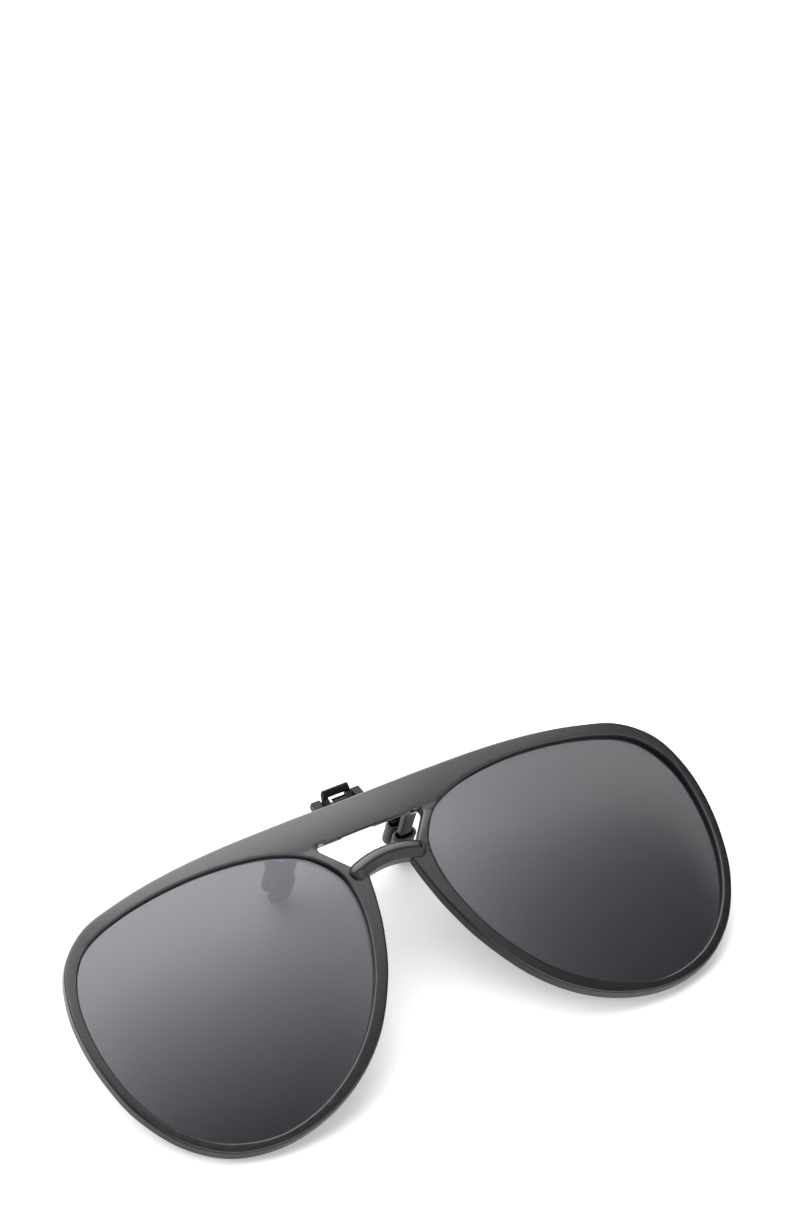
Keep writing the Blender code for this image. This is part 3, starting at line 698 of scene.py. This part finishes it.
def mark_shaded_walls(bm):
    """Give the walls of the bridge opening the second material, which paints shade on them."""
    side, top = (reach + 0.1 for reach in BRIDGE_CORNER)
    for face in bm.faces:
        middle = face.calc_center_median()
        deep = FRONT_ROUND <= middle.y <= RIM_DEPTH - BACK_ROUND
        if deep and abs(middle.x) < side and ARCH_TOP < middle.z < top:
            face.material_index = 1


def arch_section():
    """(outward, back) points: a round top, a crease on the nose side, a flat facet below."""
    top = []
    for k in range(ARCH_ROUND_STEPS + 1):
        angle = math.radians(ARCH_ROUND[0] + ARCH_ROUND[1] * k / ARCH_ROUND_STEPS)
        top.append((ARCH_HALF_WIDTH * math.cos(angle), -ARCH_HEIGHT * math.sin(angle)))
    crease = top[-1]
    foot = (-ARCH_HALF_WIDTH, -ARCH_FOOT)
    facet = [(crease[0] + (foot[0] - crease[0]) * t, crease[1] + (foot[1] - crease[1]) * t)
             for t in (0.33, 0.67, 1.0)]
    return top + facet + [(-ARCH_HALF_WIDTH, ARCH_BACK), (ARCH_HALF_WIDTH, ARCH_BACK)]


def arch():
    """The section swept along an arc, with rounded ends that narrow and flatten."""
    bm = bmesh.new()
    centre_z = ARCH_TOP - ARCH_RADIUS
    half = math.radians(ARCH_HALF_ANGLE)
    dome_angle = ARCH_HALF_WIDTH / ARCH_RADIUS
    rise = [math.radians(90 * k / ARCH_END_STEPS) for k in range(ARCH_END_STEPS)]
    dome = [(math.cos(a), max(ARCH_END_HEIGHT, math.sin(a))) for a in rise]
    stations = [(-half - dome_angle * a, s) for a, s in dome]
    stations += [(-half + 2 * half * k / ARCH_STEPS, 1.0) for k in range(ARCH_STEPS + 1)]
    stations += [(half + dome_angle * a, s) for a, s in dome[::-1]]
    loops = []
    for angle, size in stations:
        loop = []
        for out, back in arch_section():
            radius = ARCH_RADIUS + out * (ARCH_END_WIDTH + (1 - ARCH_END_WIDTH) * size)
            depth = back * size if back < 0 else back
            loop.append((radius * math.sin(angle), depth, centre_z + radius * math.cos(angle)))
        loops.append(loop)
    rings = wall(bm, loops)
    bm.faces.new(rings[0])
    bm.faces.new(rings[-1])
    bend(bm)
    return bm


def make_front(mat, cut, dull):
    front = finish("front_moulding", moulding(), mat, "lens_frame",
                   ["frame_front"])
    # cut: the painted shade material for the walls of the bridge opening
    front.data.materials.append(cut)
    finish("nose_arch", arch(), dull, "lens_frame", sharp=24)


def make_lens(side, word, tint, clear):
    """The front skin carries the tint; the back and the edge are nearly clear."""
    bm = bmesh.new()
    rim = lens_outline(side, LENS_TUCK)
    middle = (sum(p[0] for p in rim) / len(rim), sum(p[1] for p in rim) / len(rim))
    loops = []
    for face_side in (0, 1):
        shares = [k / LENS_RINGS for k in range(1, LENS_RINGS + 1)]
        y = LENS_SET_BACK + LENS_THICK * face_side
        for share in shares if face_side == 0 else shares[::-1]:
            loops.append([(middle[0] + (x - middle[0]) * share, y,
                           middle[1] + (z - middle[1]) * share) for x, z in rim])
    rings = wall(bm, loops)
    for ring, y in ((rings[0], LENS_SET_BACK), (rings[-1], LENS_SET_BACK + LENS_THICK)):
        hub = bm.verts.new((middle[0], y, middle[1]))
        for i in range(len(ring)):
            bm.faces.new((ring[i], ring[(i + 1) % len(ring)], hub))
    middle_y = LENS_SET_BACK + LENS_THICK / 4
    for face in bm.faces:
        face.material_index = int(max(v.co.y for v in face.verts) > middle_y)
    bend(bm)
    lens = finish("tinted_lens_" + word, bm, tint, "lens_frame",
                  ["lens_" + word])
    lens.data.materials.append(clear)


# ---- the hinge behind the brow bar ------------------------------------------
def make_bracket(mat):
    top, bottom = BRACKET_Z[1], BRACKET_Z[0]
    y_front = RIM_DEPTH + BRACKET_GAP
    half, notch = BRACKET_HALF, LUG_SPAN[0]
    gap, shoulder = bottom + BRACKET_NOTCH, top - BRACKET_CUT
    outline = [(-half, bottom), (-notch, bottom), (-notch, gap), (notch, gap), (notch, bottom),
               (half, bottom), (half, shoulder), (half - BRACKET_CUT, top),
               (-half + BRACKET_CUT, top), (-half, shoulder)]
    bm = bmesh.new()
    rings = wall(bm, [[(x, y, z) for x, z in outline] for y in (y_front, y_front + BRACKET_THICK)])
    bm.faces.new(rings[0])
    bm.faces.new(rings[1])
    round_edges(bm, EDGE["bracket"])
    slice_faces(bm, [f for f in bm.faces if f.calc_area() > BROAD_FACE])
    bend(bm)
    y_root = y_front + face_y(LUG_SPAN[1], top) + LUG_ROOT
    flat = FLIP_AXIS[1] - LUG_FLAT
    profile = [(y, max(z, flat)) for y, z in disc(FLIP_AXIS, LUG_RADIUS, -40, 90)]
    profile += [(y_root, FLIP_AXIS[1] + LUG_RADIUS), (y_root, flat)]
    for side in (-1, 1):
        low, high = sorted(side * x for x in LUG_SPAN)
        add(bm, prism(profile, low, high, EDGE["lug"]))
    finish("flip_bracket", bm, mat, "lens_frame", ["hinge_bracket"])


def make_screw(side, word, mat):
    """A pan head with a driver slot, on a short shank."""
    radius, height = SCREW_HEAD
    shank, length = SCREW_SHANK
    base = RIM_DEPTH + BRACKET_GAP + BRACKET_THICK + SCREW_GAP + face_y(*SCREW)
    dome = [(base - length, shank), (base, shank), (base, radius * 0.96), (base + 0.08, radius)]
    dome += [(base + height - SCREW_DOME * (1 - math.sin(a)),
              radius - SCREW_DOME * (1 - math.cos(a)))
             for a in (math.radians(18 * k) for k in range(6))]
    bm = bmesh.new()
    rings = wall(bm, [[(r * math.cos(a), y, r * math.sin(a))
                       for a in (2 * math.pi * k / 32 for k in range(32))] for y, r in dome])
    bm.faces.new(rings[0])
    bm.faces.new(rings[-1])
    bm.transform(Matrix.Translation((side * SCREW[0], 0, SCREW[1])))
    screw = finish("pan_screw_" + word, bm, mat, "lens_frame", ["bracket_screw_" + word])
    slot = bmesh.new()
    bmesh.ops.create_cube(slot, size=1.0)
    slot.transform(FACE @ Matrix.Translation((side * SCREW[0], base + height, SCREW[1]))
                   @ Matrix.Rotation(math.radians(side * SLOT_TURN), 4, "Y")
                   @ Matrix.Diagonal((3 * radius, *SLOT_CUT, 1)))
    mesh = bpy.data.meshes.new("slot_cut_" + word)
    slot.to_mesh(mesh)
    slot.free()
    cutter = bpy.data.objects.new("slot_cut_" + word, mesh)
    screw_cut(screw, cutter)


def screw_cut(screw, cutter):
    """Cut the driver slot, apply the cut and remove the cutter."""
    bpy.context.scene.collection.objects.link(cutter)
    cut = screw.modifiers.new("slot", "BOOLEAN")
    cut.operation = "DIFFERENCE"
    cut.solver = "EXACT"
    cut.object = cutter
    bpy.context.view_layer.update()
    shown = screw.evaluated_get(bpy.context.evaluated_depsgraph_get())
    mesh = bpy.data.meshes.new_from_object(shown)
    screw.modifiers.remove(cut)
    screw.data = mesh
    bpy.data.objects.remove(cutter)


def headed_pin(name, axis, size, mat, node):
    """A pin with a round-edged head at each end."""
    radius, half = size
    head = radius * PIN_HEAD
    round_head = [(half - PIN_HEAD_ROUND * (1 - math.cos(a)),
                   head - PIN_HEAD_ROUND * (1 - math.sin(a)))
                  for a in (math.radians(18 * k) for k in range(5, -1, -1))]
    shank = half - PIN_HEAD_LENGTH
    profile = [(-x, r) for x, r in reversed(round_head)]
    profile += [(-shank, head), (-shank, radius), (shank, radius), (shank, head)]
    profile += round_head
    finish(name, turned(profile, axis), mat, "clip", [node])


def make_washer(side, word, mat):
    low, high = sorted(side * x for x in WASHER_SPAN)
    outer, inner = LUG_RADIUS - WASHER_INSET, FLIP_PIN[0] + WASHER_PLAY
    bevel = outer - WASHER_EDGE
    section = [(low, inner), (low, bevel), (low + WASHER_EDGE, outer),
               (high - WASHER_EDGE, outer), (high, bevel), (high, inner), (low, inner)]
    bm = bmesh.new()
    wall(bm, [[(x, y, z) for y, z in disc(FLIP_AXIS, r)] for x, r in section])
    bmesh.ops.remove_doubles(bm, verts=bm.verts, dist=1e-4)
    finish("spacer_washer_" + word, bm, mat, "clip", ["flip_washer_" + word])


# ---- the two jaws ----------------------------------------------------------
def along_pad(reach, lift):
    """A (y, z) step along the pads' slope and square to it."""
    c, s = math.cos(PAD_SLOPE), math.sin(PAD_SLOPE)
    return Vector((reach * c - lift * s, reach * s + lift * c))


def upper_lift():
    return PAD_THICK + PAD_GAP


def arm_pair(bm, middle, span, pad_lift):
    """Two arms whose thin tips run into the pads."""
    tip = [tuple(Vector(PAD_START) + along_pad(reach, pad_lift))
           for reach in (-TIP_ROOT, TIP_LENGTH + TIP_PAST)]
    for side in (-1, 1):
        low, high = sorted(side * x for x in span)
        bar = ribbon(smooth(middle, ARM_STEPS, False), ARM_THICK)
        add(bm, prism(bar, low, high, EDGE["arm"]))
        low, high = sorted(side * x for x in ARM_SPAN)
        add(bm, prism(ribbon(tip, TIP_THICK), low + TIP_INSET, high - TIP_INSET, EDGE["tip"]))


def make_front_jaw(mat):
    """Knuckles on the flip pin, web, two ears for the jaw pin, post and lower arms."""
    web = [(WEB_Y[0], WEB_Z[0]), (WEB_Y[1], WEB_Z[0]), (WEB_Y[1], WEB_Z[1]), (WEB_Y[0], WEB_Z[1])]
    bm = prism(web, -KNUCKLE_SPAN[1], KNUCKLE_SPAN[1], EDGE["web"])
    knuckle = disc(FLIP_AXIS, LUG_RADIUS, 120, 270)
    knuckle += [(WEB_Y[0] + 0.4, FLIP_AXIS[1] - 0.9), (WEB_Y[1], WEB_Z[0] - 0.6),
                (WEB_Y[1], WEB_Z[1] - 0.1), (WEB_Y[0], WEB_Z[1] - 0.1)]
    ear = [(EAR_TOP[0] + 0.5, EAR_TOP[1]), (EAR_TOP[0] - 1.2, EAR_TOP[1]),
           (JAW_AXIS[0] - EAR_RADIUS, JAW_AXIS[1] + 0.6), (JAW_AXIS[0] - EAR_RADIUS, JAW_AXIS[1]),
           (WEB_Y[0] - 0.2, WEB_Z[1] - 0.7), (WEB_Y[1] - 0.1, WEB_Z[1] - 0.7),
           (JAW_AXIS[0] + EAR_RADIUS, JAW_AXIS[1]), (EAR_TOP[0] + 0.7, EAR_TOP[1] - 0.6)]
    for side in (-1, 1):
        low, high = sorted(side * x for x in KNUCKLE_SPAN)
        add(bm, prism(knuckle, low, high, EDGE["knuckle"]))
        low, high = sorted(side * x for x in EAR_SPAN)
        add(bm, prism(ear, low, high, EDGE["ear"]))
    post = [(POST_Y[0], 32.0), (POST_Y[0], 28.9), (POST_Y[0] + 0.9, WEB_Z[0] + 0.2),
            (WEB_Y[1] - 0.2, WEB_Z[0] + 0.2), (WEB_Y[1] - 0.2, WEB_Z[0] + 1.2),
            (POST_Y[1], 29.4), (POST_Y[1], 32.25), (POST_TIP[0] + 0.5, POST_TIP[1]), POST_TIP]
    add(bm, prism(post, -POST_HALF, POST_HALF, EDGE["post"]))
    arm_pair(bm, LOWER_ARM, LOWER_SPAN, 0.0)
    finish("hinged_jaw", bm, mat, "clip", ["front_jaw"])


def make_rear_jaw(mat):
    """Crossbar, two cheeks on the jaw pin, thumb tab and upper arms."""
    beam = [(BEAM_Y[0], BEAM_Z[0]), (BEAM_Y[1], BEAM_Z[0]), (BEAM_Y[1], BEAM_Z[1]),
            (BEAM_Y[0], BEAM_Z[1])]
    bm = prism(beam, -UPPER_SPAN[1], UPPER_SPAN[1], EDGE["beam"])
    fork = disc(JAW_AXIS, FORK_RADIUS, 180, 300)
    fork += [(BEAM_Y[0] + 0.3, BEAM_Z[0] + 0.1), (BEAM_Y[0] + 0.3, BEAM_Z[1] - 0.1),
             (JAW_AXIS[0] + 0.6, TAB_TOP[1]), (TAB_Y[1] - 0.3, TAB_TOP[0] - 0.25),
             (TAB_Y[1] - 0.3, TAB_TOP[0] - TAB_THICK)]
    for side in (-1, 1):
        low, high = sorted(side * x for x in FORK_SPAN)
        add(bm, prism(fork, low, high, EDGE["fork"]))
    tab = [(TAB_Y[0], TAB_TOP[0] - 0.35), (TAB_Y[0] + 0.3, TAB_TOP[0]),
           (TAB_Y[1], TAB_TOP[0] - 0.2), (TAB_Y[1], TAB_TOP[0] - TAB_THICK),
           (TAB_Y[0] + 0.1, TAB_TOP[0] - TAB_THICK)]
    add(bm, prism(tab, -TAB_HALF, TAB_HALF, EDGE["tab"]))
    arm_pair(bm, UPPER_ARM, UPPER_SPAN, upper_lift())
    finish("sprung_jaw", bm, mat, "rear_jaw", ["rear_jaw"])


# ---- the pads --------------------------------------------------------------
def pad_ring(reach, half_width, half_thick, power=PAD_SQUARE, count=48):
    """A rounded-rectangle ring across the pad."""
    ring = []
    for k in range(count):
        a = 2 * math.pi * k / count
        c, s = math.cos(a), math.sin(a)
        ring.append((half_width * math.copysign(abs(c) ** (2 / power), c), reach,
                     half_thick * math.copysign(abs(s) ** (2 / power), s)))
    return ring


def make_pad(name, side, lift, body, mat):
    """A sleeve with a lip at its mouth, a hollow for the arm and a round end."""
    half_width, half_thick = PAD_WIDTH / 2, PAD_THICK / 2
    straight = PAD_LENGTH - half_width
    sleeve_width, sleeve_thick = half_width - PAD_WAIST, half_thick - PAD_WAIST
    loops = [pad_ring(reach, half_width - across, half_thick - through, power)
             for reach, across, through, power in PAD_MOUTH]
    loops += [pad_ring(PAD_LIP_END + (straight - PAD_LIP_END) * k / 6, sleeve_width, sleeve_thick)
              for k in range(1, 7)]
    for k in range(1, 11):
        angle = math.radians(9 * k)
        width = max(0.05, math.cos(angle))
        thick = max(0.1, math.cos(angle) ** 0.6)
        loops.append(pad_ring(straight + half_width * math.sin(angle),
                              sleeve_width * width, sleeve_thick * thick))
    bm = bmesh.new()
    rings = wall(bm, loops)
    bm.faces.new(rings[0])
    bm.faces.new(rings[-1])
    start = Vector(PAD_START) + along_pad(0.0, lift)
    bm.transform(Matrix.Translation((side * sum(ARM_SPAN) / 2, start.x, start.y))
                 @ Matrix.Rotation(PAD_SLOPE, 4, "X"))
    finish("soft_" + name, bm, mat, body, [name], sharp=60)


# ---- the spring ------------------------------------------------------------
def make_spring(mat):
    """The coil and the leg on the web stay with the clip; the other leg moves with the jaw."""
    half = COIL_TURNS * COIL_PITCH / 2
    total = COIL_TURNS * COIL_SIDES + COIL_SIDES * 3 // 4
    coil = []
    for k in range(total + 1):
        angle = math.radians(90) + 2 * math.pi * k / COIL_SIDES
        x = -half + 2 * half * k / total
        coil.append((x, JAW_AXIS[0] + COIL_RADIUS * math.cos(angle),
                     JAW_AXIS[1] + COIL_RADIUS * math.sin(angle)))
    fixed_leg = [(half, JAW_AXIS[0] + COIL_RADIUS, JAW_AXIS[1] - 0.8),
                 (half, JAW_AXIS[0] + COIL_RADIUS, JAW_AXIS[1] - 1.6)]
    finish("spring_coil", wire(coil + fixed_leg, WIRE_RADIUS), mat, "clip",
           ["jaw_spring"])
    leg = [(-half, JAW_AXIS[0] + LEG_REACH, JAW_AXIS[1] + COIL_RADIUS + 0.45),
           (-half, JAW_AXIS[0] + 1.6, JAW_AXIS[1] + COIL_RADIUS + 0.35),
           (-half, JAW_AXIS[0] + 0.7, JAW_AXIS[1] + COIL_RADIUS + 0.15),
           (-half, JAW_AXIS[0], JAW_AXIS[1] + COIL_RADIUS)]
    finish("spring_leg", wire(leg, WIRE_RADIUS), mat, "rear_jaw")


# ---- stage, light and camera -------------------------------------------------
def make_floor():
    """A flat round floor that sweeps up at its far edge like a studio's paper roll."""
    sweep = [(FLOOR_HUB, 0.0), (SWEEP_START, 0.0)]
    sweep += [(SWEEP_START + SWEEP_RADIUS * math.sin(a), SWEEP_RADIUS * (1 - math.cos(a)))
              for a in (math.radians(SWEEP_ANGLE * k / SWEEP_STEPS)
                        for k in range(1, SWEEP_STEPS + 1))]
    bm = bmesh.new()
    rings = wall(bm, [[(r * math.cos(a), r * math.sin(a), z)
                       for a in (2 * math.pi * k / FLOOR_SIDES for k in range(FLOOR_SIDES))]
                      for r, z in sweep])
    bm.faces.new(rings[0])
    bmesh.ops.recalc_face_normals(bm, faces=bm.faces)
    if sum(f.normal.z for f in bm.faces) < 0:
        bmesh.ops.reverse_faces(bm, faces=bm.faces)
    mesh = bpy.data.meshes.new("floor")
    bm.to_mesh(mesh)
    bm.free()
    mesh.shade_smooth()
    floor = bpy.data.objects.new("floor", mesh)
    bpy.context.scene.collection.objects.link(floor)
    look = Look("floor_white", (FLOOR_ALBEDO,) * 3, 0.9)
    look.set("Emission Color", (1.0, 0.97, 1.0, 1))
    look.set("Emission Strength", FLOOR_GLOW)
    look.set("Specular IOR Level", 0.0)
    floor.data.materials.append(look.mat)


def make_world():
    """A wide soft light overhead, behind and to the left, that fades out past its edges."""
    world = bpy.data.worlds.new("studio")
    bpy.context.scene.world = world
    world.use_nodes = True
    tree = world.node_tree
    where = tree.nodes.new("ShaderNodeTexCoord")
    split = tree.nodes.new("ShaderNodeSeparateXYZ")
    tree.links.new(where.outputs["Generated"], split.inputs["Vector"])
    x, y, z = (split.outputs[axis] for axis in "XYZ")

    def product(first, *others):
        for other in others:
            first = maths(tree, "MULTIPLY", first, other)
        return first

    box = product(ramp(tree, x, BOX_FADE_X), ramp(tree, x, BOX_SLOPE_X),
                  ramp(tree, y, BOX_FADE_Y), ramp(tree, z, BOX_FADE_Z), BOX_STRENGTH)
    fill = product(ramp(tree, y, FILL_FADE_Y), ramp(tree, z, FILL_FADE_Z), FILL_STRENGTH)
    strength = maths(tree, "ADD", maths(tree, "ADD", box, fill), AMBIENT)
    background = tree.nodes["Background"]
    background.inputs["Color"].default_value = (1.0, 0.995, 1.0, 1)
    tree.links.new(strength, background.inputs["Strength"])


def make_camera():
    """The photograph's second view, from the front and to the side."""
    az, el = CAMERA_AZIMUTH, CAMERA_ELEVATION
    back = Vector((math.sin(az) * math.cos(el), -math.cos(az) * math.cos(el), math.sin(el)))
    right = Vector((0, 0, 1)).cross(back).normalized()
    up = back.cross(right)
    turned_right = right * math.cos(CAMERA_ROLL) + up * math.sin(CAMERA_ROLL)
    turned_up = up * math.cos(CAMERA_ROLL) - right * math.sin(CAMERA_ROLL)
    place = LOOK_AT + back * CAMERA_DISTANCE
    place += turned_right * CAMERA_OFFSET[0] + turned_up * CAMERA_OFFSET[1]
    data = bpy.data.cameras.new("camera")
    data.sensor_fit = "VERTICAL"
    data.sensor_height = SENSOR_HEIGHT
    data.lens = FOCAL_LENGTH
    data.clip_start = 0.01
    camera = bpy.data.objects.new("camera", data)
    bpy.context.scene.collection.objects.link(camera)
    axes = Matrix((turned_right, turned_up, back)).transposed()
    camera.matrix_world = Matrix.Translation(place) @ axes.to_4x4()
    bpy.context.scene.camera = camera


def build():
    satin, enamel = frame_look(), clip_look()
    tint, clear = lens_look("lens_tint", 0.91), lens_look("lens_back", 0.12)
    silicone, steel = pad_look(), steel_look()
    make_front(satin, painted_shade_look(), arch_look())
    make_bracket(enamel)
    headed_pin("flip_axle", FLIP_AXIS, FLIP_PIN, steel, "flip_pin")
    headed_pin("jaw_axle", JAW_AXIS, JAW_PIN, steel, "jaw_pin")
    make_front_jaw(enamel)
    make_rear_jaw(enamel)
    make_spring(spring_look())
    for side, word in ((-1, "left"), (1, "right")):
        make_lens(side, word, tint, clear)
        make_screw(side, word, steel)
        make_washer(side, word, steel)
        make_pad("pad_front_" + word, side, 0.0, "clip", silicone)
        make_pad("pad_rear_" + word, side, upper_lift(), "rear_jaw", silicone)


build()
make_floor()
make_world()
make_camera()
bpy.context.scene.view_settings.view_transform = "Standard"
